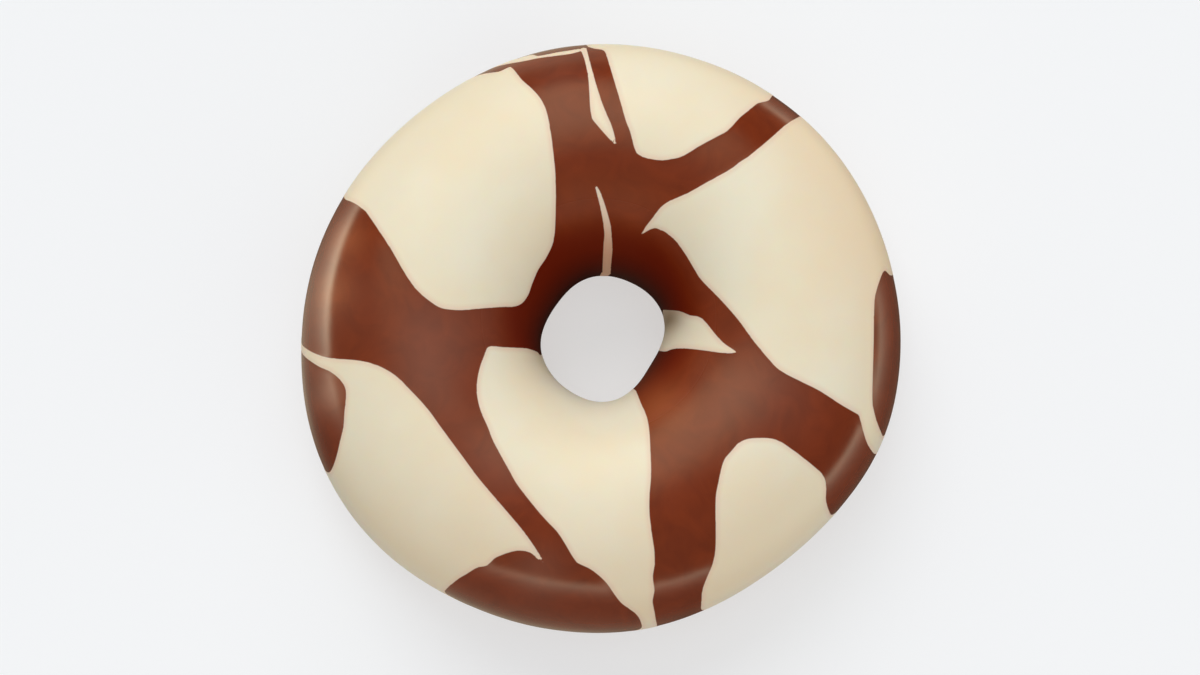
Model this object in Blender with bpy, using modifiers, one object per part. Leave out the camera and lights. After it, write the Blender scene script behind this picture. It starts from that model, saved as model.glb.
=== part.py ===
"""A ring doughnut, dipped in marbled white chocolate, at rest on its base.

Metres, +Z up. The origin is on the table, under the middle of the ring. The photograph's right is +X and its
top is +Y. Two solids: the fried dough, and the coating that wraps its top, its sides and the wall of its hole.
"""

import math

import bmesh
import bpy

# The whole doughnut, over its coating
OUTER_RADIUS = 0.04445  # mean radius at the widest line
HOLE_RADIUS = 0.0094  # mean radius at the narrowest line of the hole
HEIGHT = 0.0330
WIDEST_HEIGHT = 0.0140  # of the widest line and of the narrowest line, above the table

# The coating
COATING = 0.0015  # thickness over the crown
GAP = 0.0004  # clearance between the coating and the dough
OUTER_LIP_HEIGHT = 0.0088  # where the coating ends on the outside
HOLE_LIP_HEIGHT = 0.0082  # where it ends in the hole
LIP_TAPER = (0.45, 0.80, 0.96)  # share of the thickness on the last rows before a lip

# The section across the ring, a superellipse for each half
TOP_FULLNESS = 2.2  # 2 is an ellipse, and more is squarer
BASE_FULLNESS = 2.5
FLAT_ANGLE = math.radians(72)  # below the widest line, where the table starts to flatten the underside

# How uneven it is: (waves round the ring, share of the radius or height, degrees where a wave peaks)
OUTER_WAVES = (
    (1, 0.0048, 225), (2, 0.0195, 28), (3, 0.0050, -19),
    (4, 0.0026, -5), (5, 0.0025, -13), (6, 0.0038, -21),
)
HOLE_WAVES = ((1, 0.0230, 0), (2, 0.0560, 55), (3, 0.0150, 33), (4, 0.0300, 12))
CROWN_WAVES = ((1, 0.0060, 150), (3, 0.0080, 60), (5, 0.0050, 10))
OUTER_LIP_WAVES = ((3, 0.0900, 75), (5, 0.0800, -12), (8, 0.0550, 20), (13, 0.0300, 5))
HOLE_LIP_WAVES = ((2, 0.1000, 20), (5, 0.0700, 48))

# Fineness of the meshes
SIDES_ROUND = 72
DOUGH_ROWS = 30  # a row falls on the edge of the flat
COATING_ROWS = 21
SEAM = 1e-6  # points nearer than this are joined where the coating's grid meets itself

DOUGH_COLOUR = (0.47, 0.24, 0.085, 1)
DOUGH_ROUGHNESS = 0.7
COATING_COLOUR = (0.86, 0.76, 0.57, 1)
COATING_ROUGHNESS = 0.3


def uneven(mean, waves, around):
    """A size that swells and shrinks round the ring."""
    swell = sum(share * math.cos(count * (around - math.radians(peak))) for count, share, peak in waves)
    return mean * (1 + swell)


def signed_power(value, power):
    """A power that keeps the sign of its base."""
    return math.copysign(abs(value) ** power, value)


def base_reach():
    """How far below the widest line the underside would reach if the table didn't flatten it."""
    return WIDEST_HEIGHT / math.sin(FLAT_ANGLE) ** (2 / BASE_FULLNESS)


def on_section(around, over, inset):
    """A point of the ring's surface, set in by a distance.

    around is the angle round the ring from +X. over is the angle over the section: 0 at the widest line, a
    quarter turn at the crown, a half turn in the hole, and negative on the underside.
    """
    outer = uneven(OUTER_RADIUS, OUTER_WAVES, around) - inset
    hole = uneven(HOLE_RADIUS, HOLE_WAVES, around) + inset
    middle, half_width = (outer + hole) / 2, (outer - hole) / 2
    if math.sin(over) >= 0:
        power, reach = 2 / TOP_FULLNESS, uneven(HEIGHT, CROWN_WAVES, around) - WIDEST_HEIGHT - inset
    else:
        power, reach = 2 / BASE_FULLNESS, base_reach()
    radius = middle + half_width * signed_power(math.cos(over), power)
    height = max(0, WIDEST_HEIGHT + reach * signed_power(math.sin(over), power))
    return radius * math.cos(around), radius * math.sin(around), height


def under_widest(height):
    """The angle below the widest line at which the underside is at this height."""
    return math.asin(((WIDEST_HEIGHT - height) / base_reach()) ** (BASE_FULLNESS / 2))


def add_object(name, mesh, colour, roughness, collection):
    """Links a mesh as a named, smooth shaded object with a material of its own."""
    material = bpy.data.materials.new(name)
    material.use_nodes = True
    surface = material.node_tree.nodes["Principled BSDF"]
    surface.inputs["Base Color"].default_value = colour
    surface.inputs["Roughness"].default_value = roughness
    mesh.materials.append(material)
    mesh.shade_smooth()
    part = bpy.data.objects.new(name, mesh)
    collection.objects.link(part)
    return part


def mesh_of_primitive(name):
    """Takes the mesh of the primitive that was just added, and removes its object."""
    added = bpy.context.object
    mesh = added.data
    mesh.name = name
    bpy.data.objects.remove(added)
    return mesh


def make_dough(collection):
    """The fried ring: a torus, reshaped to the uneven section and pressed flat where it rests."""
    bpy.ops.mesh.primitive_torus_add(
        major_segments=SIDES_ROUND, minor_segments=DOUGH_ROWS, major_radius=1, minor_radius=0.5
    )
    mesh = mesh_of_primitive("dough_ring")
    for vertex in mesh.vertices:
        x, y, z = vertex.co
        over = math.atan2(z, math.hypot(x, y) - 1)
        vertex.co = on_section(math.atan2(y, x), over, COATING + GAP)
    return add_object("dough_ring", mesh, DOUGH_COLOUR, DOUGH_ROUGHNESS, collection)


def make_coating(collection):
    """The coating: a grid bent over the ring from its outer lip to its lip in the hole, then given thickness."""
    bpy.ops.mesh.primitive_grid_add(x_subdivisions=SIDES_ROUND, y_subdivisions=COATING_ROWS, size=1)
    mesh = mesh_of_primitive("white_chocolate_coating")
    shares = []
    for vertex in mesh.vertices:
        around = math.tau * (vertex.co.x + 0.5)
        across = vertex.co.y + 0.5
        outer_lip = -under_widest(uneven(OUTER_LIP_HEIGHT, OUTER_LIP_WAVES, around))
        hole_lip = math.pi + under_widest(uneven(HOLE_LIP_HEIGHT, HOLE_LIP_WAVES, around))
        vertex.co = on_section(around, outer_lip + (hole_lip - outer_lip) * across, COATING)
        row = round(across * COATING_ROWS)
        rows_to_lip = min(row, COATING_ROWS - row)
        shares.append(LIP_TAPER[rows_to_lip] if rows_to_lip < len(LIP_TAPER) else 1)

    coating = add_object("white_chocolate_coating", mesh, COATING_COLOUR, COATING_ROUGHNESS, collection)
    group = coating.vertex_groups.new(name="thickness")
    for index, share in enumerate(shares):
        group.add([index], share, "REPLACE")

    seam = bmesh.new()
    seam.from_mesh(mesh)
    bmesh.ops.remove_doubles(seam, verts=seam.verts, dist=SEAM)
    seam.to_mesh(mesh)
    seam.free()

    shell = coating.modifiers.new("thickness", "SOLIDIFY")
    shell.thickness = COATING
    shell.offset = 1
    shell.vertex_group = group.name
    shell.use_even_offset = True
    return coating


def main():
    for old in list(bpy.data.objects):
        bpy.data.objects.remove(old)
    collection = bpy.data.collections.new("white_chocolate_doughnut")
    bpy.context.scene.collection.children.link(collection)
    make_dough(collection)
    make_coating(collection)


main()
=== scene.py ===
import math

import bpy
import numpy as np
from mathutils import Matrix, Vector
from mathutils.bvhtree import BVHTree
from mathutils.kdtree import KDTree


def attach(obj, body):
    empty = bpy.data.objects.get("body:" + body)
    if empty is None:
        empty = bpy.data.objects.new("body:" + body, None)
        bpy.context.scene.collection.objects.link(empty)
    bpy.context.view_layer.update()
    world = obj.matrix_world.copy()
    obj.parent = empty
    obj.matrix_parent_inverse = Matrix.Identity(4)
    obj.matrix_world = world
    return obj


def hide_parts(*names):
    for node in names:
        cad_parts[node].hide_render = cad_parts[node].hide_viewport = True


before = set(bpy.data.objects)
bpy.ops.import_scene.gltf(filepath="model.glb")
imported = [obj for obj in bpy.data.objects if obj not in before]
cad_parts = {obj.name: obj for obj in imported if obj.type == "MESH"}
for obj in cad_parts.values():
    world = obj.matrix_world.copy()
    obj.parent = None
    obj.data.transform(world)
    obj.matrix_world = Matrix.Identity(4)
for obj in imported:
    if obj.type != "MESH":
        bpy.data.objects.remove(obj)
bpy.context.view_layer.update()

# A ring doughnut dipped in marbled white chocolate: the looks. Metres, +Z up, in the frame of the solids.
# Two pieces: the coating with its ivory and brown marbling, and the fried dough that shows under its lip.

mm = 0.001


# Helpers

def linear(hexColour):  # "#RRGGBB" in sRGB to the linear colour that the shaders use
    parts = [int(hexColour[place:place + 2], 16) / 255 for place in (1, 3, 5)]
    bright = [part / 12.92 if part <= 0.04045 else ((part + 0.055) / 1.055) ** 2.4 for part in parts]
    return (*bright, 1)


def feed(node, sources):  # sources: {input name or number: value, node or socket}
    for name, source in sources.items():
        if isinstance(source, bpy.types.Node):
            source = next(socket for socket in source.outputs if socket.enabled)
        if isinstance(source, bpy.types.NodeSocket):
            node.id_data.links.new(source, node.inputs[name])
        else:
            node.inputs[name].default_value = source


def addNode(tree, kind, sources=None, **settings):
    node = tree.nodes.new(kind)
    for name, value in settings.items():
        setattr(node, name, value)
    feed(node, sources or {})
    return node


def newObject(name, data):  # an object in the scene
    thing = bpy.data.objects.new(name, data)
    bpy.context.scene.collection.objects.link(thing)
    return thing


def newMaterial(name):
    material = bpy.data.materials.new(name)
    material.use_nodes = True
    return material, material.node_tree, material.node_tree.nodes["Principled BSDF"]


def startTree(name, sizeNames):  # a Geometry Nodes tree with a named input for each size
    tree = bpy.data.node_groups.new(name, "GeometryNodeTree")
    tree.interface.new_socket("Geometry", in_out="OUTPUT", socket_type="NodeSocketGeometry")
    for size in sizeNames:
        tree.interface.new_socket(size, in_out="INPUT", socket_type="NodeSocketFloat")
    given = addNode(tree, "NodeGroupInput")
    return tree, {"sizes": {size: given.outputs[size] for size in sizeNames}}


def meshFromTree(name, tree, sizes):  # runs the tree once and keeps its result as a plain mesh object
    holder = newObject(name + "Holder", bpy.data.meshes.new(name))
    modifier = holder.modifiers.new(name, "NODES")
    modifier.node_group = tree
    for socket in tree.interface.items_tree:
        if socket.in_out == "INPUT":
            modifier[socket.identifier] = float(sizes[socket.name])
    bpy.context.view_layer.update()
    evaluated = holder.evaluated_get(bpy.context.evaluated_depsgraph_get())
    mesh = bpy.data.meshes.new_from_object(evaluated)
    bpy.data.objects.remove(holder)
    mesh.name = name
    return newObject(name, mesh)


def vectorsOf(items, kind):
    vectors = np.empty(len(items) * 3)
    items.foreach_get(kind, vectors)
    return vectors.reshape(-1, 3)


def directionTo(zenith, azimuth):  # degrees from straight up, and round from +X
    tilt, turn = math.radians(zenith), math.radians(azimuth)
    return Vector((math.sin(tilt) * math.cos(turn), math.sin(tilt) * math.sin(turn), math.cos(tilt)))


# The ring that both pieces follow, in metres: the same form as the solids

ring = {
    "Outer Radius": 0.04445,  # mean, at the widest line
    "Hole Radius": 0.0094,  # mean, at the narrowest line
    "Height": 0.0330,
    "Widest Height": 0.0140,
    "topFullness": 2.2,  # of a superellipse: 2 is an ellipse
    "baseFullness": 2.5,
    "flatAngle": 72,  # degrees below the widest line where the flat underside begins
    "coating": 0.0015,
    # waves: how often round the ring, share of the size, degrees of a peak. The first two are rounded
    # harmonics of the photograph's outline and hole, and the crown's are given
    "outerWaves": [(1, 0.0048, 225), (2, 0.0195, 28), (3, 0.0050, -19), (4, 0.0026, -5), (5, 0.0025, -13),
                   (6, 0.0038, -21)],
    "holeWaves": [(1, 0.0230, 0), (2, 0.0560, 55), (3, 0.0150, 33), (4, 0.0300, 12)],
    "crownWaves": [(1, 0.0060, 150), (3, 0.0080, 60), (5, 0.0050, 10)],
}
middleRadius = (ring["Outer Radius"] + ring["Hole Radius"]) / 2
topPower, basePower = 2 / ring["topFullness"], 2 / ring["baseFullness"]
flatReach = 1 / math.sin(math.radians(ring["flatAngle"])) ** basePower  # of the base, if not flattened
seamGap = 1e-6  # points nearer than this are merged where a grid meets itself


def addSteps(tree, made, steps):  # a formula, one named Math node a step; terms are names or numbers
    for name, operation, *terms in steps:
        sources = {place: made.get(term, term) for place, term in enumerate(terms)}
        made[name] = addNode(tree, "ShaderNodeMath", sources, operation=operation)


def addWaves(tree, made, name, size, waves):  # nodes for a size that swells and shrinks round the ring
    made["swell"] = 1.0
    for count, share, peak in waves:
        addSteps(tree, made, [
            ("phase", "MULTIPLY_ADD", "around", count, -count * math.radians(peak)),
            ("swing", "COSINE", "phase"),
            ("swell", "MULTIPLY_ADD", "swing", share, "swell"),
        ])
    addSteps(tree, made, [(name, "MULTIPLY", "swell", made["sizes"][size])])


def addSection(tree, made):  # nodes for the place on the ring at around and over, set in by inset
    addWaves(tree, made, "outerSwollen", "Outer Radius", ring["outerWaves"])
    addWaves(tree, made, "holeSwollen", "Hole Radius", ring["holeWaves"])
    addWaves(tree, made, "crown", "Height", ring["crownWaves"])
    made["widest"] = made["sizes"]["Widest Height"]
    addSteps(tree, made, [
        ("outer", "SUBTRACT", "outerSwollen", "inset"),
        ("hole", "ADD", "holeSwollen", "inset"),
        ("width", "SUBTRACT", "outer", "hole"),
        ("halfWidth", "MULTIPLY", "width", 0.5),
        ("middle", "ADD", "hole", "halfWidth"),
        ("rise", "SINE", "over"),
        ("isTop", "GREATER_THAN", "rise", 0.0),
        ("power", "MULTIPLY_ADD", "isTop", topPower - basePower, basePower),
        ("run", "COSINE", "over"),
    ])
    for result, swing in (("up", "rise"), ("across", "run")):
        addSteps(tree, made, [
            ("size", "ABSOLUTE", swing),
            ("sign", "SIGN", swing),
            ("raised", "POWER", "size", "power"),
            (result, "MULTIPLY", "raised", "sign"),
        ])
    addSteps(tree, made, [
        ("topHeight", "SUBTRACT", "crown", "widest"),
        ("topReach", "SUBTRACT", "topHeight", "inset"),
        ("baseReach", "MULTIPLY", "widest", flatReach),
        ("reachMore", "SUBTRACT", "topReach", "baseReach"),
        ("reach", "MULTIPLY_ADD", "isTop", "reachMore", "baseReach"),
        ("rawHeight", "MULTIPLY_ADD", "up", "reach", "widest"),
        ("z", "MAXIMUM", "rawHeight", 0.0),
        ("radius", "MULTIPLY_ADD", "across", "halfWidth", "middle"),
        ("cosAround", "COSINE", "around"),
        ("sinAround", "SINE", "around"),
        ("x", "MULTIPLY", "radius", "cosAround"),
        ("y", "MULTIPLY", "radius", "sinAround"),
    ])
    return addNode(tree, "ShaderNodeCombineXYZ", {0: made["x"], 1: made["y"], 2: made["z"]})


def addGrid(tree, made):  # a flat grid to bend: around from 0 to a turn, and the number of each row
    sizes = made["sizes"]
    addSteps(tree, made, [("columns", "ADD", sizes["Columns"], 1.0), ("rows", "ADD", sizes["Rows"], 1.0)])
    grid = addNode(tree, "GeometryNodeMeshGrid", {0: 1.0, 1: 1.0, 2: made["columns"], 3: made["rows"]})
    place = addNode(tree, "ShaderNodeSeparateXYZ", {0: addNode(tree, "GeometryNodeInputPosition")})
    addSteps(tree, made, [
        ("shareRound", "ADD", place.outputs["X"], 0.5),
        ("around", "MULTIPLY", "shareRound", math.tau),
        ("shareOver", "ADD", place.outputs["Y"], 0.5),
        ("row", "MULTIPLY", "shareOver", sizes["Rows"]),
    ])
    return grid


def addRelief(tree, bent, height):  # moves the surface along its normals
    offset = addNode(tree, "ShaderNodeVectorMath", {0: addNode(tree, "GeometryNodeInputNormal"),
                     "Scale": height}, operation="SCALE")
    return addNode(tree, "GeometryNodeSetPosition", {"Geometry": bent, "Offset": offset})


def addClosing(tree, bent, material):  # merges the seams, then the ending that every tree has
    welded = addNode(tree, "GeometryNodeMergeByDistance", {"Geometry": bent, "Distance": seamGap})
    smooth = addNode(tree, "GeometryNodeSetShadeSmooth", {"Geometry": welded})
    real = addNode(tree, "GeometryNodeRealizeInstances", {"Geometry": smooth})
    finished = addNode(tree, "GeometryNodeSetMaterial", {"Geometry": real, "Material": material})
    addNode(tree, "NodeGroupOutput", {0: finished})


# The coating: its shown face from the outer lip, over the crown, to the hole's lip, then its hidden face

coating = {
    "Columns": 600,
    "beadRows": 6,  # over each rounded lip
    "faceRows": 132,
    "hiddenRows": 10,
    "Lip Height": 0.0088,  # outside
    "Hole Lip Height": 0.0082,
    "lipWaves": [(3, 0.0900, 75), (5, 0.0800, -12), (8, 0.0550, 20), (13, 0.0300, 5)],
    "holeLipWaves": [(2, 0.1000, 20), (5, 0.0700, 48)],
    "sectionLength": 0.060,  # from lip to lip over the crown
    "beadRadius": 0.0013,  # of the rounded lip
    "beadSwell": 0.00022,  # the coating gathers by this much just above its lip
    "swellMiddle": 2.4,  # bead radii from the lip to the middle of that swell
    "swellWidth": 1.5,  # bead radii
    "Swell Relief": 0.00012,  # soft unevenness of the set coating
    "swellLength": 0.011,
    "seed": 4.0,
}
coating["Rows"] = 2 * coating["beadRows"] + coating["faceRows"] + coating["hiddenRows"]


def coatingTree(material):
    tree, made = startTree("coatingRing", [
        "Outer Radius", "Hole Radius", "Height", "Widest Height", "Thickness", "Lip Height",
        "Hole Lip Height", "Swell Relief", "Columns", "Rows", "Seed",
    ])
    sizes = made["sizes"]
    grid = addGrid(tree, made)
    thickness, bead, face = sizes["Thickness"], coating["beadRows"], coating["faceRows"]
    beadShare = coating["beadRadius"] / coating["sectionLength"]
    stretches = [(0, bead, beadShare), (bead, bead + face, 1 - 2 * beadShare),
                 (bead + face, face + 2 * bead, beadShare), (face + 2 * bead, coating["Rows"], -1.0)]
    made["share"] = 0.0  # of the way from the lip outside to the lip in the hole
    for first, last, gain in stretches:
        made["gained"] = addNode(tree, "ShaderNodeMapRange", {0: made["row"], 1: first, 2: last, 4: gain})
        addSteps(tree, made, [("share", "ADD", "gained", "share")])
    for lip, height, waves in (
        ("outerLip", "Lip Height", "lipWaves"),
        ("holeLip", "Hole Lip Height", "holeLipWaves"),
    ):
        addWaves(tree, made, "lipHeight", height, coating[waves])
        addSteps(tree, made, [
            ("drop", "SUBTRACT", sizes["Widest Height"], "lipHeight"),
            ("fullReach", "MULTIPLY", sizes["Widest Height"], flatReach),
            ("dropShare", "DIVIDE", "drop", "fullReach"),
            ("dropPower", "POWER", "dropShare", 1 / basePower),
            (lip, "ARCSINE", "dropPower"),
        ])
    lastShown = face + 2 * bead + 0.5  # between the last row that shows and the first of the hidden face
    swellScale = 1 / (coating["swellWidth"] * coating["beadRadius"])
    swellStart = -coating["swellMiddle"] / coating["swellWidth"]
    addSteps(tree, made, [
        ("holeSide", "ADD", "holeLip", math.pi),
        ("sweep", "ADD", "holeSide", "outerLip"),
        ("swept", "MULTIPLY", "sweep", "share"),
        ("over", "SUBTRACT", "swept", "outerLip"),
        ("shareBack", "SUBTRACT", 1.0, "share"),
        ("shareNear", "MINIMUM", "share", "shareBack"),
        ("fromLip", "MULTIPLY", "shareNear", coating["sectionLength"]),
        ("inBead", "MULTIPLY_ADD", "fromLip", -1 / coating["beadRadius"], 1.0),
        ("beadTurn", "MAXIMUM", "inBead", 0.0),
        ("beadSquare", "MULTIPLY", "beadTurn", "beadTurn"),
        ("beadLeft", "SUBTRACT", 1.0, "beadSquare"),
        ("beadRoot", "SQRT", "beadLeft"),
        ("beadFall", "SUBTRACT", 1.0, "beadRoot"),
        ("beadInset", "MULTIPLY", "beadFall", thickness),
        ("swellPlace", "MULTIPLY_ADD", "fromLip", swellScale, swellStart),
        ("swellSquare", "MULTIPLY", "swellPlace", "swellPlace"),
        ("swellFade", "MULTIPLY", "swellSquare", -1.0),
        ("swellCurve", "EXPONENT", "swellFade"),
        ("faceInset", "MULTIPLY_ADD", "swellCurve", -coating["beadSwell"], "beadInset"),
        ("isHidden", "GREATER_THAN", "row", lastShown),
        ("hiddenMore", "SUBTRACT", thickness, "faceInset"),
        ("inset", "MULTIPLY_ADD", "isHidden", "hiddenMore", "faceInset"),
    ])
    place = addSection(tree, made)
    bent = addNode(tree, "GeometryNodeSetPosition", {"Geometry": grid, "Position": place})
    noise = addNode(tree, "ShaderNodeTexNoise", {
        "Vector": addNode(tree, "GeometryNodeInputPosition"), "W": sizes["Seed"],
        "Scale": 1 / coating["swellLength"], "Detail": 1.0,
    }, noise_dimensions="4D")
    addSteps(tree, made, [
        ("noiseEven", "SUBTRACT", noise.outputs[0], 0.5),
        ("relief", "MULTIPLY", "noiseEven", sizes["Swell Relief"]),
    ])
    addClosing(tree, addRelief(tree, bent, made["relief"]), material)
    return tree


# The camera: the photograph's view, nearly straight down. Pixels are counted in the photograph's frame

view = {
    "elevation": 85,  # degrees above the table, from the side that the photograph's bottom edge shows
    "lens": 100,
    "sensor": 36,
    "clip": (0.01, 50),  # metres, nearest and furthest
    "pictureSize": (1200, 675),  # pixels
    "ringMiddle": (601, 337),  # pixel
    "pixelsPerMetre": 6643,  # at the height of the widest line
}


def makeCamera():
    data = bpy.data.cameras.new("Camera")
    data.lens, data.sensor_width = view["lens"], view["sensor"]
    data.clip_start, data.clip_end = view["clip"]
    camera = newObject("Camera", data)
    wide, high = view["pictureSize"]
    distance = wide * view["lens"] / view["sensor"] / view["pixelsPerMetre"]
    tilt = math.radians(view["elevation"])
    left = (wide / 2 - view["ringMiddle"][0]) / view["pixelsPerMetre"]
    down = (view["ringMiddle"][1] - high / 2) / view["pixelsPerMetre"]
    aim = Vector((left, down, ring["Widest Height"]))
    camera.location = aim + distance * Vector((0, -math.cos(tilt), math.sin(tilt)))
    camera.rotation_euler = (aim - camera.location).to_track_quat("-Z", "Y").to_euler()
    bpy.context.scene.camera = camera
    bpy.context.view_layer.update()
    return camera


# The marbling. Each ivory patch is a closed outline of smooth stretches, which meet at its corners, and what
# no patch covers is milk brown. A seen stretch holds pixels of the photograph and is laid on the coating
# through the camera. They were read one by one, and some were then moved to where rows of the photograph's
# colours showed the border. A hidden stretch, under the widest line or down the hole, holds degrees: round
# the ring from +X, and over its section from the widest line, up over the crown.

marbling = {
    "relief": 0.035 * mm,  # the ivory stands this much proud
    "sideSoftening": (38, 22),  # degrees over the section where the bends start to soften, and are soft
    "sideBend": 1.6 * mm,
    "leastBend": 0.001,  # share of it over the crown, where the corners stay sharp
    "outlineStep": 0.1 * mm,
    "pixelStep": 0.7,  # between the points of a seen stretch
    "degreeStep": 0.4,  # between those of a hidden one
    "drawIn": 0.998,  # towards the ring's middle at each try, for a pixel just off the rim
    "castReach": 22 * mm,  # clears the section on every side
    "missedReach": 0.8,  # share of it where nothing is hit
    "reliefBlend": 0.6,  # mm, over which the ivory rises from the brown
}

spots = {
    # painted light: where the brown is painted lighter with sheen and glow: middle and radius in mm, share
    # of ivory or of light brown mixed in
    "paintedSheen": [((-23, 0), 7, 0.04), ((-24, -8), 7, 0.035), ((24, -9), 8, 0.035), ((-6, 37), 5, 0.02),
                ((-15, -19), 6, 0.04), ((-38, 5), 6, 0.02), ((-39.5, -9.5), 2.5, 0.09),
                ((-9, -35.5), 4, 0.03)],
    "paintedGlow": [((8.5, -11.5), 4.5, 0.25), ((-39.5, 5.5), 3, 0.26), ((-37.3, 13), 3, 0.22),
               ((-39.3, -9.5), 3, 0.15), ((-3.5, 17.5), 4, 0.08), ((4, 17), 4, 0.07),
               ((15.4, -5.1), 3, 0.06)],
    # painted shade on the ivory down the hole: the same with a pink and with a dark tone
    "paintedPinkShade": [((0.8, 11.2), 4.5, 0.75)],
    "paintedDarkShade": [((10.1, 2.3), 2.2, 0.75)],
}

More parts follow.
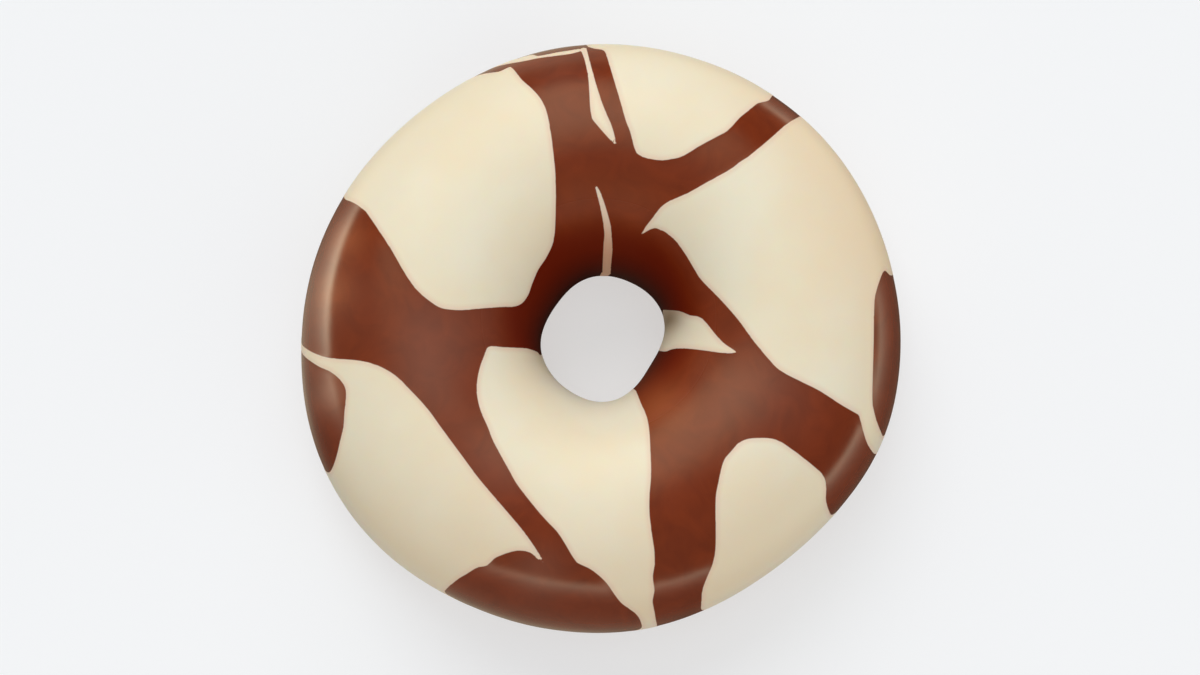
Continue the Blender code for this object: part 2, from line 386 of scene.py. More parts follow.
patches = {
    "northWest": [
        ("seen", [(490, 73), (500, 71.5), (510, 66.5)]),
        ("seen", [(510, 66.5), (514, 70), (522, 80), (531, 88), (540, 98), (546, 110), (550, 128),
          (553, 150), (555.5, 178), (555.5, 215), (553.5, 240), (547, 256), (538, 270), (532, 284),
          (528, 295), (522, 303), (514, 306.5), (500, 307), (480, 308.5), (462, 310), (450, 309.5),
          (440, 307.5), (429, 300.5), (418, 291), (410, 281), (403, 270), (391, 249), (378, 229),
          (366, 211.5)]),
        ("seen", [(366, 211.5), (359, 206), (352, 202), (345, 199.5)]),
        ("hidden", [(151.5, 14), (152, 2), (156, -11), (161, -34)]),
        ("hidden", [(161, -34), (142, -34), (124, -34)]),
        ("hidden", [(124, -34), (123.5, -12), (121, 0), (117.5, 13)]),
    ],
    "northRim": [
        ("seen", [(511, 63.5), (520, 62), (530, 60), (540, 58), (555, 56), (570, 54), (582, 51)]),
        ("seen", [(582, 51), (581, 48.5), (574, 50), (560, 52), (545, 55), (536, 56.5), (533, 54)]),
        ("hidden", [(107, 20), (110.5, 10), (113, -2), (114.5, -14), (115, -34)]),
        ("hidden", [(115, -34), (121.5, -34)]),
        ("hidden", [(121.5, -34), (119.5, -12), (117, 0), (113.5, 12), (110.5, 24)]),
    ],
    "northWedge": [
        ("seen", [(580, 48), (584, 58), (587, 70), (588.7, 82), (589.5, 95), (590.5, 110), (592.5, 119.5)]),
        ("seen", [(592.5, 119.5), (601, 129.5), (610, 139.5), (617, 146)]),
        ("seen", [(617, 146), (612, 127), (604, 108), (597.5, 89), (591.5, 68), (586, 47)]),
    ],
    "north": [
        ("seen", [(584, 43.5), (587, 46.5), (594, 48.8), (601, 49.5), (605, 52), (608, 60), (614, 80),
          (620, 100), (626, 121), (630, 131), (634, 146.5), (637, 153.5)]),
        ("seen", [(637, 153.5), (643, 156.8), (652, 159.2), (662, 160.2), (672, 159), (681, 156.8),
          (690, 152), (700, 145.8), (719, 135.5), (728, 130.3), (740, 117.5), (750, 109.5), (757, 103.8),
          (764, 101.8)]),
        ("seen", [(764, 101.8), (769, 100.3), (772, 95.5)]),
        ("hidden", [(54.3, 15), (54.6, 2), (57.5, -10), (60, -34)]),
        ("hidden", [(60, -34), (80, -34), (101, -34)]),
        ("hidden", [(101, -34), (99, -12), (95.5, 2), (93, 16), (92.5, 28)]),
    ],
    "northEast": [
        ("seen", [(641, 234.5), (646, 226.5), (652.5, 218), (658.3, 210.2), (663, 205.2), (670, 201),
          (690, 191.9), (710, 180.6), (730, 169.5), (740, 162), (750, 155.3), (770, 138.8), (787, 124),
          (799, 117)]),
        ("hidden", [(47.6, 15), (47.8, 2), (50.5, -11), (54, -34)]),
        ("hidden", [(54, -34), (28, -34), (4, -34)]),
        ("hidden", [(4, -34), (8, -12), (11.5, 2), (11.6, 18)]),
        ("seen", [(891, 279), (888, 273), (885, 269)]),
        ("seen", [(885, 269), (882, 274), (879, 282), (876.5, 290), (874.5, 300), (873.8, 320), (873.5, 345),
          (872.3, 388), (872.3, 404)]),
        ("seen", [(872.3, 404), (875, 416), (878.5, 427), (883, 438)]),
        ("hidden", [(-19.5, 10), (-18.6, -2), (-16.5, -14), (-15, -34)]),
        ("hidden", [(-15, -34), (-21, -34)]),
        ("hidden", [(-21, -34), (-22, -14), (-23, -2), (-23.3, 10)]),
        ("seen", [(874.5, 455), (869.5, 448), (866, 440.5), (861, 423), (859, 415)]),
        ("seen", [(859, 415), (840, 404), (820, 391), (800, 381), (781, 371), (770, 360.5), (753, 340),
          (738.5, 320), (720.5, 299.5), (702, 280.5), (695.3, 270.5), (687.3, 257), (680.5, 247), (675, 240),
          (665.4, 232), (660, 229.7), (655.5, 228), (650.5, 229.3), (645, 232.3), (641, 234.5)]),
    ],
    "eastWedge": [
        ("seen", [(664, 309.8), (674, 310.5), (682, 312), (690, 315.3), (699, 317), (705, 321.5),
          (715, 333.8), (720, 339.5), (726, 344.8), (736, 351.5)]),
        ("seen", [(736, 352.5), (728, 353.3), (718, 352.3), (705, 350.5), (692, 349), (680, 348.4),
          (672, 349.3), (666, 351.5), (660.5, 351)]),
        ("hidden", [(-14, 176), (-10, 190), (2, 206)]),
        ("hidden", [(2, 206), (14, 192), (23, 176)]),
    ],
    "south": [
        ("seen", [(487, 348), (491, 346.2), (500, 347), (515, 347.8), (526, 348.4), (532, 350), (537, 352),
          (540, 355.5)]),
        ("hidden", [(197, 176), (198, 190), (202, 215)]),
        ("hidden", [(202, 215), (250, 215), (300, 215)]),
        ("hidden", [(300, 215), (299, 190), (301.4, 176)]),
        ("seen", [(636, 391), (638.5, 397), (641, 403.5), (645, 412), (648, 422), (649.6, 435), (650.6, 455),
          (651, 475), (649.4, 497), (649.6, 515), (652, 535), (654.2, 550), (654.5, 564), (652.8, 577),
          (654.3, 590), (652.6, 601), (654.5, 612), (656, 622)]),
        ("hidden", [(-79, 4), (-79.6, -8), (-80.5, -18), (-81, -34)]),
        ("hidden", [(-81, -34), (-89, -34)]),
        ("hidden", [(-89, -34), (-86.5, -15), (-83.5, -4), (-82, 6)]),
        ("seen", [(642, 626), (640.5, 620), (636, 613.8), (629, 608.5), (621, 602.5), (614, 593.5),
          (607, 583.5), (599, 575.5), (590, 568.8), (583, 565.5), (577, 562.5)]),
        ("seen", [(577, 562.5), (572, 555.5), (565, 543.5), (557, 531.5), (547, 521), (536, 508.5),
          (518, 485.5), (509, 470), (494, 442.5), (488, 427.5), (481, 411.5), (477.2, 396), (477.2, 381),
          (480, 367), (484, 356), (487, 348)]),
    ],
    "southEast": [
        ("seen", [(700.5, 610), (701.5, 600), (702, 593), (704, 585), (708, 575), (712.5, 564), (715.3, 550),
          (715.8, 530), (715.5, 510), (716, 495), (718.5, 482), (721, 470), (724.5, 459.5), (731, 451.5),
          (739, 443), (748, 439), (760, 438), (771, 438.6), (780, 441.5), (792, 449.5), (806, 460),
          (816, 468.3), (822, 474), (825.3, 481), (826, 490), (825.8, 500), (828, 509), (830.5, 516)]),
        ("hidden", [(-37.8, 10), (-36.5, -2), (-32.5, -13), (-30, -34)]),
        ("hidden", [(-30, -34), (-48, -34), (-66, -34)]),
        ("hidden", [(-66, -34), (-67, -13), (-69, -2), (-70, 8)]),
    ],
    "southWest": [
        ("seen", [(301.5, 344), (305, 347.5), (310, 351), (317, 354.3), (325, 357), (335, 358.7),
          (351, 359.8), (361, 361), (371, 363.2), (381, 367), (391, 372.5), (400, 379.5), (410, 389.8),
          (420, 400.3), (430, 412), (440, 426), (461, 454.5), (480, 480), (500, 503.5), (520, 527),
          (529.5, 539.5), (541, 557), (543, 562)]),
        ("seen", [(543, 562), (537.2, 558.4), (531.5, 553.2), (525, 550.9), (515, 550.8), (503, 554.5),
          (495, 558), (490.5, 562.5)]),
        ("seen", [(490.5, 562.5), (486, 565.8), (477, 567.5), (468, 573), (458, 579), (450, 585.5),
          (446, 588.5)]),
        ("hidden", [(238.6, 8), (241, -3), (246.5, -14), (250, -34)]),
        ("hidden", [(250, -34), (224, -34), (197, -34)]),
        ("hidden", [(197, -34), (200, -13), (205, -1), (206.8, 10)]),
        ("seen", [(330.5, 473), (334, 465), (337.5, 453), (340.5, 440), (343.5, 427), (344.5, 413),
          (345.8, 400), (346, 391), (343, 383.5), (336.5, 376), (328, 370.3), (320, 367), (312, 362),
          (306, 357.5), (302.5, 353.5)]),
        ("hidden", [(182.8, 10), (181.5, -2), (180.5, -13), (180, -34)]),
        ("hidden", [(180, -34), (175, -34)]),
        ("hidden", [(175, -34), (177, -12), (179.6, 0), (181, 12)]),
    ],
    "intoHole": [
        ("seen", [(594, 184), (596.5, 192), (601, 210), (603.7, 226), (604.4, 235), (603.6, 245),
          (602.3, 273)]),
        ("hidden", [(89.5, 176), (91, 190), (90, 204)]),
        ("hidden", [(90, 204), (84, 190), (81, 176)]),
        ("seen", [(610.4, 273), (611.3, 262), (612.3, 248), (611.3, 232), (609.8, 222), (604.3, 203),
          (598.6, 189), (594, 184)]),
    ],
}


def smoothThrough(points, spacing):  # a smooth curve through given points, as closely spaced points
    knots = np.array(points, dtype=float)
    padded = np.vstack([2 * knots[0] - knots[1], knots, 2 * knots[-1] - knots[-2]])
    curve = []
    for before, start, end, after in zip(padded, padded[1:], padded[2:], padded[3:]):
        count = max(2, int(np.linalg.norm((end - start)[:2]) / spacing))
        for share in np.arange(count) / count:
            curve.append(0.5 * (2 * start + (end - before) * share
                                + (2 * before - 5 * start + 4 * end - after) * share ** 2
                                + (3 * start - before - 3 * end + after) * share ** 3))
    return np.array(curve + [knots[-1]])


def ringAngles(points):  # around and over, in radians, of places on the ring
    across = np.hypot(points[:, 0], points[:, 1]) - middleRadius
    over = np.arctan2(points[:, 2] - ring["Widest Height"], across)
    return np.arctan2(points[:, 1], points[:, 0]), np.where(over < -math.pi / 2, over + math.tau, over)


def layOnCoating(kind, points, surface, camera):  # the places on the coating that a stretch runs through
    places = []
    if kind == "seen":
        wide, high = view["pictureSize"]
        focus = wide * view["lens"] / view["sensor"]
        middle = np.array(view["ringMiddle"])
        turn = camera.matrix_world.to_3x3()
        for pixel in smoothThrough(points, marbling["pixelStep"]):
            hit = None
            while hit is None:  # a pixel just off the rim is drawn in until it meets the coating
                aim = Vector(((pixel[0] - wide / 2) / focus, (high / 2 - pixel[1]) / focus, -1))
                hit = surface.ray_cast(camera.location, (turn @ aim).normalized())[0]
                pixel = middle + (pixel - middle) * marbling["drawIn"]
            places.append(hit)
        return np.array(places)
    reach = marbling["castReach"]
    for degrees in smoothThrough(points, marbling["degreeStep"]):
        around, over = np.radians(degrees)
        outward = Vector((math.cos(around), math.sin(around), 0))
        core = outward * middleRadius + Vector((0, 0, ring["Widest Height"]))
        ray = outward * math.cos(over) + Vector((0, 0, math.sin(over)))
        hit = surface.ray_cast(core + ray * reach, -ray, reach)[0]
        places.append(hit or core + ray * reach * marbling["missedReach"])
    return np.array(places)


def evenSteps(outline):  # the closed outline as evenly and closely spaced points
    closed = np.vstack([outline, outline[:1]])
    along = np.concatenate([[0], np.cumsum(np.linalg.norm(np.diff(closed, axis=0), axis=1))])
    places = np.arange(0, along[-1], marbling["outlineStep"])
    return np.stack([np.interp(places, along, closed[:, axis]) for axis in range(3)], axis=1)


def softenSides(outline, surface):  # the stretches meet in gentle bends where they run down the outside
    over = ringAngles(outline)[1]
    begins, full = np.radians(marbling["sideSoftening"])
    reach = marbling["sideBend"] * np.clip((begins - over) / (begins - full), marbling["leastBend"], 1)
    along = np.arange(len(outline)) * marbling["outlineStep"]
    apart = np.abs(along[:, None] - along)
    apart = np.minimum(apart, len(outline) * marbling["outlineStep"] - apart)
    weights = np.exp(-0.5 * (apart / reach[:, None]) ** 2)
    softened = weights @ outline / weights.sum(axis=1)[:, None]
    return np.array([surface.find_nearest(Vector(point))[0] for point in softened])


def insideOutline(around, over, outline):  # even-odd test on the unrolled ring
    edgeAround, edgeOver = ringAngles(outline)
    edgeAround = np.unwrap(edgeAround)
    inside = np.zeros(len(around), bool)
    for turns in (-1, 0, 1):
        place = around + turns * math.tau
        near = (place > edgeAround.min()) & (place < edgeAround.max())
        x, y = place[near], over[near]
        odd = np.zeros(len(x), bool)
        for number in range(len(edgeAround)):
            x1, y1 = edgeAround[number - 1], edgeOver[number - 1]
            x2, y2 = edgeAround[number], edgeOver[number]
            if y1 != y2:
                crosses = (y1 > y) != (y2 > y)
                odd ^= crosses & (x < x1 + (y - y1) * (x2 - x1) / (y2 - y1))
        inside[near] |= odd
    return inside


def drawMarbling(piece, camera):  # how deep each vertex lies in the ivory, in mm, and below 0 in the brown
    mesh = piece.data
    points, normals = vectorsOf(mesh.vertices, "co"), vectorsOf(mesh.vertex_normals, "vector")
    faces = [face.vertices[:] for face in mesh.polygons]
    surface = BVHTree.FromPolygons([Vector(point) for point in points], faces)
    around, over = ringAngles(points)
    inside = np.zeros(len(points), bool)
    outlines = []
    for stretches in patches.values():
        outline = np.vstack([layOnCoating(kind, stretch, surface, camera) for kind, stretch in stretches])
        outline = softenSides(evenSteps(outline), surface)
        inside |= insideOutline(around, over, outline)
        outlines.append(outline)
    edges = np.vstack(outlines)
    tree = KDTree(len(edges))
    for number, edge in enumerate(edges):
        tree.insert(edge, number)
    tree.balance()
    depth = np.array([tree.find(point)[2] for point in points]) / mm * np.where(inside, 1, -1)
    values = {"ivoryDepth": depth, **{name: np.zeros(len(points)) for name in spots}}
    for name, places in spots.items():
        for (x, y), radius, share in places:
            squares = (points[:, 0] / mm - x) ** 2 + (points[:, 1] / mm - y) ** 2
            values[name] += share * np.exp(-squares / radius ** 2)
    for name, value in values.items():
        mesh.attributes.new(name, "FLOAT", "POINT").data.foreach_set("value", value.astype(np.float32))
    ivory = np.clip(0.5 + depth / marbling["reliefBlend"], 0, 1)
    points += normals * (marbling["relief"] * ivory)[:, None]
    mesh.vertices.foreach_set("co", points.ravel())
    mesh.update()


# The dough: a fried ring, wrinkled and blistered, golden brown below and paler where it floated

dough = {
    "Columns": 480,
    "Rows": 176,
    "Lump Relief": 0.0005,  # slow unevenness
    "lumpLength": 0.012,
    "Wrinkle Relief": 0.00028,  # of the fried skin
    "wrinkleLength": 0.0026,
    "wrinkleTwist": 0.6,
    "Blister Height": 0.00035,
    "blisterSpacing": 0.0042,
    "blisterShare": 0.36,  # of the spacing, a blister's radius
    "blisterFrom": 0.5,  # of the slow noise: they come where it is higher
    "blisterRound": 0.7,  # power of its dome: 1 is a cone
    "overlap": 0.0001,  # the dough reaches this far into the coating, so that no gap shows at the lip
    "seed": 7.0,
}


def doughTree(material):
    tree, made = startTree("doughRing", [
        "Outer Radius", "Hole Radius", "Height", "Widest Height", "Inset", "Lump Relief", "Wrinkle Relief",
        "Blister Height", "Columns", "Rows", "Seed",
    ])
    sizes = made["sizes"]
    grid = addGrid(tree, made)
    made["inset"] = sizes["Inset"]
    addSteps(tree, made, [
        ("turn", "MULTIPLY", "shareOver", math.tau),
        ("over", "SUBTRACT", "turn", math.pi),
    ])
    bent = addNode(tree, "GeometryNodeSetPosition", {"Geometry": grid, "Position": addSection(tree, made)})
    seeded = {"Vector": addNode(tree, "GeometryNodeInputPosition"), "W": sizes["Seed"]}
    lumps = addNode(tree, "ShaderNodeTexNoise", {**seeded, "Scale": 1 / dough["lumpLength"], "Detail": 1.0},
                    noise_dimensions="4D")
    wrinkles = addNode(tree, "ShaderNodeTexNoise", {**seeded, "Scale": 1 / dough["wrinkleLength"],
                       "Detail": 3.0, "Distortion": dough["wrinkleTwist"]}, noise_dimensions="4D")
    blisters = addNode(tree, "ShaderNodeTexVoronoi", {**seeded, "Scale": 1 / dough["blisterSpacing"]},
                       voronoi_dimensions="4D")
    addSteps(tree, made, [
        ("lumpEven", "SUBTRACT", lumps.outputs[0], 0.5),
        ("wrinkleEven", "SUBTRACT", wrinkles.outputs[0], 0.5),
        ("lumpRise", "MULTIPLY", "lumpEven", sizes["Lump Relief"]),
        ("skinRise", "MULTIPLY_ADD", "wrinkleEven", sizes["Wrinkle Relief"], "lumpRise"),
        ("blisterNear", "MULTIPLY_ADD", blisters.outputs["Distance"], -1 / dough["blisterShare"], 1.0),
        ("blisterCone", "MAXIMUM", "blisterNear", 0.0),
        ("blisterDome", "POWER", "blisterCone", dough["blisterRound"]),
        ("blisterWhere", "GREATER_THAN", lumps.outputs[0], dough["blisterFrom"]),
        ("blisterHere", "MULTIPLY", "blisterDome", "blisterWhere"),
        ("relief", "MULTIPLY_ADD", "blisterHere", sizes["Blister Height"], "skinRise"),
    ])
    raised = addRelief(tree, bent, made["relief"])
    above = addNode(tree, "ShaderNodeVectorMath", {0: addNode(tree, "GeometryNodeInputPosition"),
                    1: (-1, -1, 0)}, operation="MAXIMUM")  # nothing goes below the table
    rested = addNode(tree, "GeometryNodeSetPosition", {"Geometry": raised, "Position": above})
    addClosing(tree, rested, material)
    return tree


# Materials

chocolate = {
    "ivory": "#EFE7D0",
    "ivoryWarm": "#EEE1C5",
    "ivoryLowShade": "#ECDDBE",  # painted warm shade down the outer side
    "lowHeights": (32.5 * mm, 23 * mm),  # where it begins, and where it is full
    "ivoryRim": "#EDE5D0",  # below the shoulder, where the painted warm shade gives way to nearly plain ivory
    "rimHeights": (24 * mm, 16 * mm),
    # painted shade of the ivory on the sides away from the light
    "ivorySideShade": "#E9CDA8",
    # painted shade towards two sides away from the light: degrees round from +X, how far out it begins and
    # is full, share
    "shadeSides": {"shadeEast": (24, 28 * mm, 44 * mm, 0.7), "shadeSouth": (270, 18 * mm, 42 * mm, 0.42)},
    "ivoryTinted": "#E3C0AC",  # along its borders, where a little brown has bled in
    "edgeDepths": (-0.07, 0.07),  # mm past the border: the blend from brown to ivory
    "tintDepths": (1.0, 0.1),  # mm inside the border: where the tint begins, and where it is full
    "tintShare": 0.4,
    # painted shade on the ivory down the hole, a pink one and a dark one
    "ivoryPinkShade": "#D89A78",
    "ivoryDarkShade": "#7A5A38",
    "milkBrown": "#7B2E10",
    "milkDeep": "#6C270E",
    # painted light: the lighter red brown of the glow spots
    "milkGlowTone": "#CC7A4C",
    "milkHoleShade": "#681C09",  # painted shade down the hole
    "milkHoleShadeFoot": "#380E05",  # painted shade, darkest at the hole's foot
    "darkHeights": (25 * mm, 14 * mm),
    "outerReach": (middleRadius, middleRadius + 6 * mm),  # from the middle: the outer side of the ring
    "cloudLength": 14 * mm,  # slow change of tone
    "cloudTones": (0.35, 0.65),  # of the noise, where a tone begins and where it is full
    "streakLength": 5 * mm,
    "streakTones": (0.3, 0.7),
    "brownRoughness": 0.17,
    "dullRoughness": 0.6,  # down the hole
    "ivoryRoughness": 0.42,
    "ior": 1.46,  # cocoa butter
    "holeMiddle": (-0.3 * mm, 1.6 * mm, 0),
    "holeShadeReach": (11.8 * mm, 15.6 * mm),  # from there: the brown is painted dark with the hole's shade
    "shineReach": (13.2 * mm, 19.0 * mm),  # from there: its gloss comes in
    "shine": (0.02, 0.5),  # specular level down the hole, and elsewhere
    "translucency": 0.35,  # of the ivory
    "lightReach": 2.0 * mm,
    "lightSpread": (1.0, 0.55, 0.3),  # red light travels furthest
    "peelLength": 2.4 * mm,  # faint ripple of the set surface, which softens its reflections
    "peelDepth": 0.012 * mm,
}


# Set white and milk chocolate. To the eye it is smooth and glossy: the milk chocolate shows clear
# highlights over a deep red brown, and the ivory, rich in cocoa butter, is waxier: light sinks in a little
def marbledChocolate():
    material, tree, surface = newMaterial("marbledChocolate")
    place = addNode(tree, "ShaderNodeTexCoord").outputs["Object"]
    flat = addNode(tree, "ShaderNodeVectorMath", {0: place, 1: (1, 1, 0)}, operation="MULTIPLY")
    made = {
        "height": addNode(tree, "ShaderNodeSeparateXYZ", {0: place}).outputs["Z"],
        "fromHole": addNode(tree, "ShaderNodeVectorMath", {0: flat, 1: chocolate["holeMiddle"]},
                            operation="DISTANCE"),
        "fromMiddle": addNode(tree, "ShaderNodeVectorMath", {0: flat}, operation="LENGTH"),
    }
    for name in ("ivoryDepth", *spots):
        made[name] = addNode(tree, "ShaderNodeAttribute", attribute_name=name).outputs["Fac"]
    for name, length, detail, distortion in (
        ("clouds", "cloudLength", 2.0, 0.0),
        ("streaks", "streakLength", 3.0, 1.2),
        ("peel", "peelLength", 1.0, 0.0),
    ):
        made[name] = addNode(tree, "ShaderNodeTexNoise", {"Vector": place, "Scale": 1 / chocolate[length],
                             "Detail": detail, "Distortion": distortion})

    masks = [  # name, what it follows, where it begins and is full, share, blend
        ("isIvory", "ivoryDepth", chocolate["edgeDepths"], 1, "SMOOTHSTEP"),
        ("ivoryTone", "clouds", chocolate["cloudTones"], 1, "LINEAR"),
        ("brownTone", "streaks", chocolate["streakTones"], 1, "LINEAR"),
        # painted shade down the hole: where the brown's dark ends round the hole, and below, how it deepens
        # downward
        ("isClear", "fromHole", chocolate["holeShadeReach"], 1, "SMOOTHSTEP"),
        ("isGlossy", "fromHole", chocolate["shineReach"], 1, "SMOOTHSTEP"),
        ("isDark", "height", chocolate["darkHeights"], 1, "LINEAR"),
        ("isLow", "height", chocolate["lowHeights"], 1, "LINEAR"),
        ("isRim", "height", chocolate["rimHeights"], 1, "LINEAR"),
        ("isOuter", "fromMiddle", chocolate["outerReach"], 1, "LINEAR"),
        ("isTinted", "ivoryDepth", chocolate["tintDepths"], chocolate["tintShare"], "SMOOTHSTEP"),
    ]
    # painted shade towards the two sides away from the light
    for side, (azimuth, begins, full, share) in chocolate["shadeSides"].items():
        made[side + "Reach"] = addNode(tree, "ShaderNodeVectorMath", {0: place, 1: directionTo(90, azimuth)},
                                       operation="DOT_PRODUCT")
        masks.append((side, side + "Reach", (begins, full), share, "LINEAR"))
    for name, source, (begins, full), share, blend in masks:
        made[name] = addNode(tree, "ShaderNodeMapRange", {0: made[source], 1: begins, 2: full, 4: share},
                             interpolation_type=blend)
    addSteps(tree, made, [
        # painted warm shade on the lower outer side
        ("isLowShade", "MULTIPLY", "isLow", "isOuter"),
        ("isOuterRim", "MULTIPLY", "isRim", "isOuter"),
        ("translucent", "MULTIPLY", "isIvory", chocolate["translucency"]),
    ])

    tones = {name: linear(tone) for name, tone in chocolate.items() if isinstance(tone, str)}
    # Painted shade and light are mixed into the colour here: the hole's shade on the brown, warm shade on
    # the ivory's lower and far sides, shade on the ivory down the hole, and sheen and glow spots on the
    # brown
    for result, under, share, over in (
        ("brown", "milkBrown", "brownTone", "milkDeep"),
        ("dark", "milkHoleShade", "isDark", "milkHoleShadeFoot"),
        ("brown", "dark", "isClear", "brown"),
        ("brown", "brown", "paintedSheen", "ivory"),
        ("brown", "brown", "paintedGlow", "milkGlowTone"),
        ("white", "ivory", "ivoryTone", "ivoryWarm"),
        ("white", "white", "isLowShade", "ivoryLowShade"),
        ("white", "white", "isOuterRim", "ivoryRim"),
        ("white", "white", "shadeEast", "ivorySideShade"),
        ("white", "white", "shadeSouth", "ivorySideShade"),
        ("white", "white", "isTinted", "ivoryTinted"),
        ("white", "white", "paintedPinkShade", "ivoryPinkShade"),
        ("white", "white", "paintedDarkShade", "ivoryDarkShade"),
        ("marbled", "brown", "isIvory", "white"),
    ):
        tones[result] = addNode(tree, "ShaderNodeMix", {0: made[share], 6: tones[under], 7: tones[over]},
                                data_type="RGBA")

    dullest, shiniest = chocolate["shine"]
    shine = addNode(tree, "ShaderNodeMapRange", {0: made["isGlossy"], 3: dullest, 4: shiniest})
    brownRoughness = addNode(tree, "ShaderNodeMapRange", {0: made["isGlossy"],
                             3: chocolate["dullRoughness"], 4: chocolate["brownRoughness"]})
    roughness = addNode(tree, "ShaderNodeMapRange", {0: made["isIvory"], 3: brownRoughness,
                        4: chocolate["ivoryRoughness"]})
    bump = addNode(tree, "ShaderNodeBump", {"Height": made["peel"], "Strength": 1.0,
                   "Distance": chocolate["peelDepth"]})
    feed(surface, {
        "Base Color": tones["marbled"],
        "Specular IOR Level": shine,
        "Roughness": roughness,
        "Normal": bump,
        "IOR": chocolate["ior"],
        "Subsurface Weight": made["translucent"],
        "Subsurface Radius": chocolate["lightSpread"],
        "Subsurface Scale": chocolate["lightReach"],
    })
    return material


crust = {
    "golden": "#B57B3C",
    "deep": "#8A5224",
    "specks": "#63370F",
    "pale": "#DFBE88",
    "paleHeight": 8.2 * mm,  # above this the dough floated clear of the oil
    "paleBlend": 2.2 * mm,
    "paleWander": 3 * mm,
    "mottleLength": 5 * mm,
    "mottleTones": (0.35, 0.65),  # of the noise, where a tone begins and where it is full
    "speckTones": (0.52, 0.72),
    "speckShare": 0.6,
    "grainLength": 1.1 * mm,  # of the fried skin's pores, drawn a little coarse so that they show
    "grainDepth": 0.10 * mm,
    "roughnesses": (0.45, 0.65),
    "ior": 1.47,  # frying oil in the skin
}


# Fried dough. To the eye it is oily and golden brown, with darker specks where the skin caught the heat, and
# a paler band round the side where it met the air
def friedCrust():
    material, tree, surface = newMaterial("friedCrust")
    place = addNode(tree, "ShaderNodeTexCoord").outputs["Object"]
    height = addNode(tree, "ShaderNodeSeparateXYZ", {0: place}).outputs["Z"]
    mottle, grain = (
        addNode(tree, "ShaderNodeTexNoise", {"Vector": place, "Scale": 1 / crust[length], "Detail": detail})
        for length, detail in (("mottleLength", 4.0), ("grainLength", 3.0))
    )
    toneBegins, toneFull = crust["mottleTones"]
    isDeep = addNode(tree, "ShaderNodeMapRange", {0: mottle, 1: toneBegins, 2: toneFull})
    speckBegins, speckFull = crust["speckTones"]
    isSpeck = addNode(tree, "ShaderNodeMapRange", {0: grain, 1: speckBegins, 2: speckFull,
                      4: crust["speckShare"]})
    wander = addNode(tree, "ShaderNodeMath", {0: mottle, 1: crust["paleWander"], 2: height},
                     operation="MULTIPLY_ADD")
    paleFull = crust["paleHeight"] + crust["paleBlend"]
    isPale = addNode(tree, "ShaderNodeMapRange", {0: wander, 1: crust["paleHeight"], 2: paleFull},
                     interpolation_type="SMOOTHSTEP")
    colour = linear(crust["golden"])
    for share, tone in ((isDeep, "deep"), (isSpeck, "specks"), (isPale, "pale")):
        colour = addNode(tree, "ShaderNodeMix", {0: share, 6: colour, 7: linear(crust[tone])},
                         data_type="RGBA")
    oiliest, driest = crust["roughnesses"]
    roughness = addNode(tree, "ShaderNodeMapRange", {0: mottle, 1: toneBegins, 2: toneFull, 3: driest,
                        4: oiliest})
    bump = addNode(tree, "ShaderNodeBump", {"Height": grain, "Strength": 1.0,
                   "Distance": crust["grainDepth"]})
    feed(surface, {"Base Color": colour, "Roughness": roughness, "Normal": bump, "IOR": crust["ior"]})
    return material


# The stage: a pale floor that glows a little, as a lit white table does, and soft light, most of it from
# the picture's top, with a wide fill from its lower right

stage = {
    "floorSize": 6.0,
    "floorDrop": 0.05 * mm,  # keeps it clear of the flat underside
    "floorRoughness": 0.9,
    "floorGrey": "#A3A6A9",
    "floorGlow": 0.55,  # its own light, which keeps the shadows faint
    "wallLight": 0.5,  # from all round, low down
    "ceilingLight": 0.28,
    "wallTop": 0.35,  # height on the unit sphere where the walls end
    "backdrop": 0.9,
    # lamps: strength, degrees from straight up, degrees round from +X, degrees across
    "lamps": {"wall": (1.10, 52, 96, 60), "key": (0.74, 35, 108, 30), "top": (0.37, 2, 90, 30),
              "fill": (0.72, 56, 298, 80)},
    # what the gloss mirrors. Above, a warm white room with a soft lamp; below, the lit table, with a glare
    # where it begins that dies away towards the ring. Heights are on the unit sphere, sides degrees from +X
    "mirroredColour": "#FFF7CB",
    "glareColour": "#FFF4D4",
    "roomDim": 0.14,
    "roomBright": 0.38,
    "roomBrightSide": (60, 215),  # degrees from straight up, and round from +X
    "lampShine": 1.7,
    "lampSide": (42, 104),
    "lampReach": (44, 6),  # degrees from its middle to where it begins, and to where it is full
    "tableEdge": -0.27,
    "tableTilt": (0.01, -0.15, 0),
    # side, narrowness, how much higher the edge is
    "tableRises": [(258, 6.0, 0.41), (190, 8.0, 0.20), (50, 12.0, -0.14)],
    "edgeBlur": (0.15, 0.05),  # above the edge, and below it
    "edgeHaze": 0.45,  # just above the edge
    "edgeHazeHeight": 0.12,
    "tableNear": 0.08,
    # side, narrowness, how much lighter the table is below its edge
    "tableNears": [(105, 14.0, 0.38), (170, 20.0, 0.27), (228, 16.0, 0.25), (262, 14.0, 0.19)],
    # glares on the table's edge: side, narrowness, strength, how fast it dies away towards the ring
    "glares": [(165, 14.0, 6.8, 0.17), (270, 4.0, 3.2, 0.12), (325, 8.0, 2.4, 0.12), (0, 8.0, 2.2, 0.14),
               (50, 12.0, 1.8, 0.12)],
}


def makeFloor():
    half = stage["floorSize"] / 2
    mesh = bpy.data.meshes.new("floor")
    corners = [(-half, -half, 0), (half, -half, 0), (half, half, 0), (-half, half, 0)]
    mesh.from_pydata(corners, [], [(0, 1, 2, 3)])
    floor = newObject("floor", mesh)
    floor.location.z = -stage["floorDrop"]
    floor.visible_glossy = False
    material, tree, surface = newMaterial("litTable")
    feed(surface, {
        "Base Color": linear(stage["floorGrey"]),
        "Roughness": stage["floorRoughness"],
        "Specular IOR Level": 0.0,
        "Emission Color": (1, 1, 1, 1),
        "Emission Strength": stage["floorGlow"],
    })
    mesh.materials.append(material)


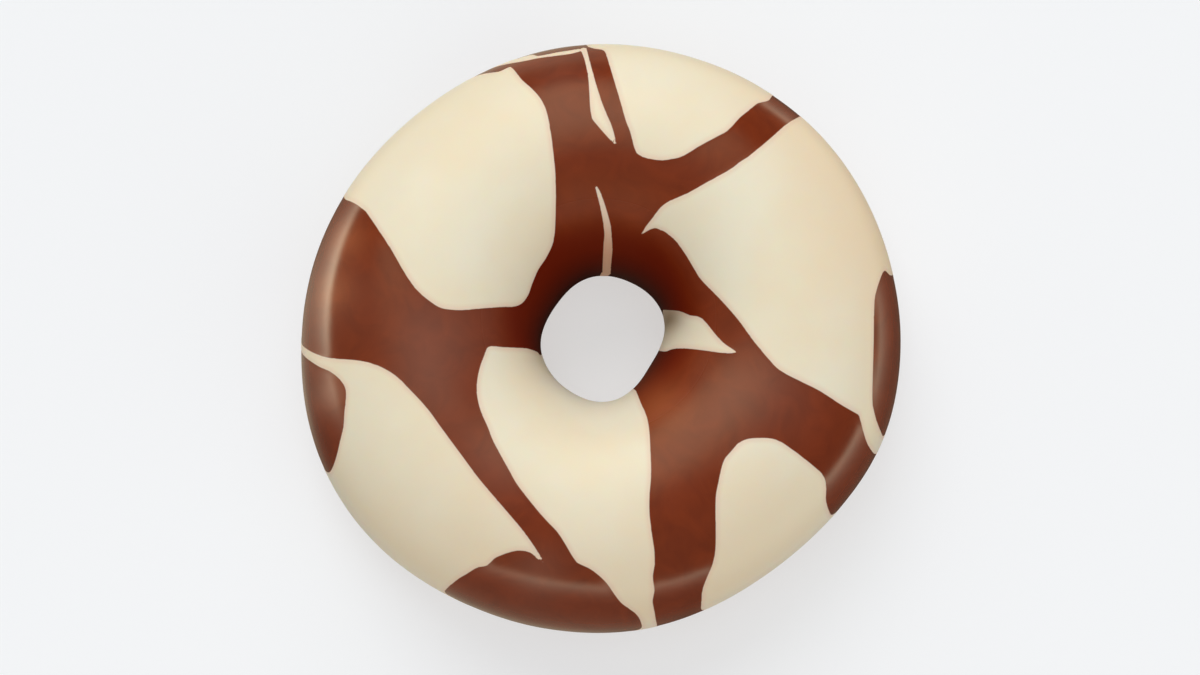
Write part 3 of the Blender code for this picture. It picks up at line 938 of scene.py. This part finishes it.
def makeWorld():
    world = bpy.data.worlds.new("studio")
    world.use_nodes = True
    bpy.context.scene.world = world
    tree = world.node_tree
    ray = addNode(tree, "ShaderNodeTexCoord").outputs["Generated"]
    made = {"up": addNode(tree, "ShaderNodeSeparateXYZ", {0: ray}).outputs["Z"]}
    flat = addNode(tree, "ShaderNodeVectorMath", {0: ray, 1: (1, 1, 0)}, operation="MULTIPLY")
    outward = addNode(tree, "ShaderNodeVectorMath", {0: flat}, operation="NORMALIZE")

    def towards(looking, angles):
        dot = addNode(tree, "ShaderNodeVectorMath", {0: looking, 1: directionTo(*angles)},
                      operation="DOT_PRODUCT")
        return addNode(tree, "ShaderNodeMath", {0: dot, 1: 0.0}, operation="MAXIMUM")

    def addLobe(name, side, narrowness, strength):  # adds to the named value on one side of the stage
        made["side"] = towards(outward, (90, side))
        addSteps(tree, made, [
            ("lobe", "POWER", "side", narrowness),
            (name, "MULTIPLY_ADD", "lobe", strength, name),
        ])

    made["lean"] = addNode(tree, "ShaderNodeVectorMath", {0: ray, 1: stage["tableTilt"]},
                           operation="DOT_PRODUCT")
    lampBegins, lampFull = (math.cos(math.radians(degrees)) for degrees in stage["lampReach"])
    made["room"] = addNode(tree, "ShaderNodeMapRange", {0: towards(ray, stage["roomBrightSide"]),
                           3: stage["roomDim"], 4: stage["roomBright"]})
    made["lamp"] = addNode(tree, "ShaderNodeMapRange", {0: towards(ray, stage["lampSide"]), 1: lampBegins,
                           2: lampFull, 4: stage["lampShine"]}, interpolation_type="SMOOTHSTEP")
    addSteps(tree, made, [("edge", "ADD", "lean", stage["tableEdge"])])
    for side, narrowness, rise in stage["tableRises"]:
        addLobe("edge", side, narrowness, rise)
    addSteps(tree, made, [
        ("below", "SUBTRACT", "edge", "up"),
        ("deep", "MAXIMUM", "below", 0.0),
        ("belowOnly", "MINIMUM", "below", 0.0),
        ("hazeFall", "DIVIDE", "belowOnly", stage["edgeHazeHeight"]),
        ("hazeFade", "EXPONENT", "hazeFall"),
        ("lit", "ADD", "room", "lamp"),
        ("above", "MULTIPLY_ADD", "hazeFade", stage["edgeHaze"], "lit"),
    ])
    made["under"] = stage["tableNear"]
    for side, narrowness, strength in stage["tableNears"]:
        addLobe("under", side, narrowness, strength)
    for side, narrowness, strength, depth in stage["glares"]:
        made["glare"] = 0.0
        addLobe("glare", side, narrowness, strength)
        addSteps(tree, made, [
            ("fall", "MULTIPLY", "deep", -1 / depth),
            ("fade", "EXPONENT", "fall"),
            ("under", "MULTIPLY_ADD", "glare", "fade", "under"),
        ])
    blurAbove, blurBelow = stage["edgeBlur"]
    onTable = addNode(tree, "ShaderNodeMapRange", {0: made["below"], 1: -blurAbove, 2: blurBelow},
                      interpolation_type="SMOOTHSTEP")
    mirrored = addNode(tree, "ShaderNodeMix", {0: onTable, 2: made["above"], 3: made["under"]},
                       data_type="FLOAT")
    tint = addNode(tree, "ShaderNodeMix", {0: onTable, 6: linear(stage["mirroredColour"]),
                   7: linear(stage["glareColour"])}, data_type="RGBA")
    ambient = addNode(tree, "ShaderNodeMapRange", {0: made["up"], 2: stage["wallTop"],
                      3: stage["wallLight"], 4: stage["ceilingLight"]})
    path = addNode(tree, "ShaderNodeLightPath").outputs
    lit = addNode(tree, "ShaderNodeMix", {0: path["Is Glossy Ray"], 2: ambient, 3: mirrored},
                  data_type="FLOAT")
    seen = addNode(tree, "ShaderNodeMix", {0: path["Is Camera Ray"], 2: lit, 3: stage["backdrop"]},
                   data_type="FLOAT")
    colour = addNode(tree, "ShaderNodeMix", {0: path["Is Glossy Ray"], 6: (1, 1, 1, 1), 7: tint},
                     data_type="RGBA")
    feed(tree.nodes["Background"], {"Color": colour, "Strength": seen})


def makeLamps():
    for name, (power, zenith, azimuth, softness) in stage["lamps"].items():
        data = bpy.data.lights.new(name, "SUN")
        data.energy, data.angle = power, math.radians(softness)
        lamp = newObject(name, data)
        lamp.rotation_euler = directionTo(zenith, azimuth).to_track_quat("Z", "Y").to_euler()
        lamp.visible_glossy = False
    bpy.context.scene.view_settings.view_transform = "Standard"


# Making it

camera = makeCamera()
print("camera ready")

sizes = {**ring, **coating, "Thickness": ring["coating"], "Seed": coating["seed"]}
coatingPiece = meshFromTree("chocolateCoating", coatingTree(marbledChocolate()), sizes)
print("coating made:", len(coatingPiece.data.vertices), "points")
drawMarbling(coatingPiece, camera)
print("marbling drawn")

sizes = {**ring, **dough, "Inset": ring["coating"] - dough["overlap"], "Seed": dough["seed"]}
doughPiece = meshFromTree("friedDough", doughTree(friedCrust()), sizes)
print("dough made:", len(doughPiece.data.vertices), "points")

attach(coatingPiece, "root")
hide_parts("white_chocolate_coating")
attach(doughPiece, "root")
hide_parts("dough_ring")

makeFloor()
makeWorld()
makeLamps()
print("stage ready")
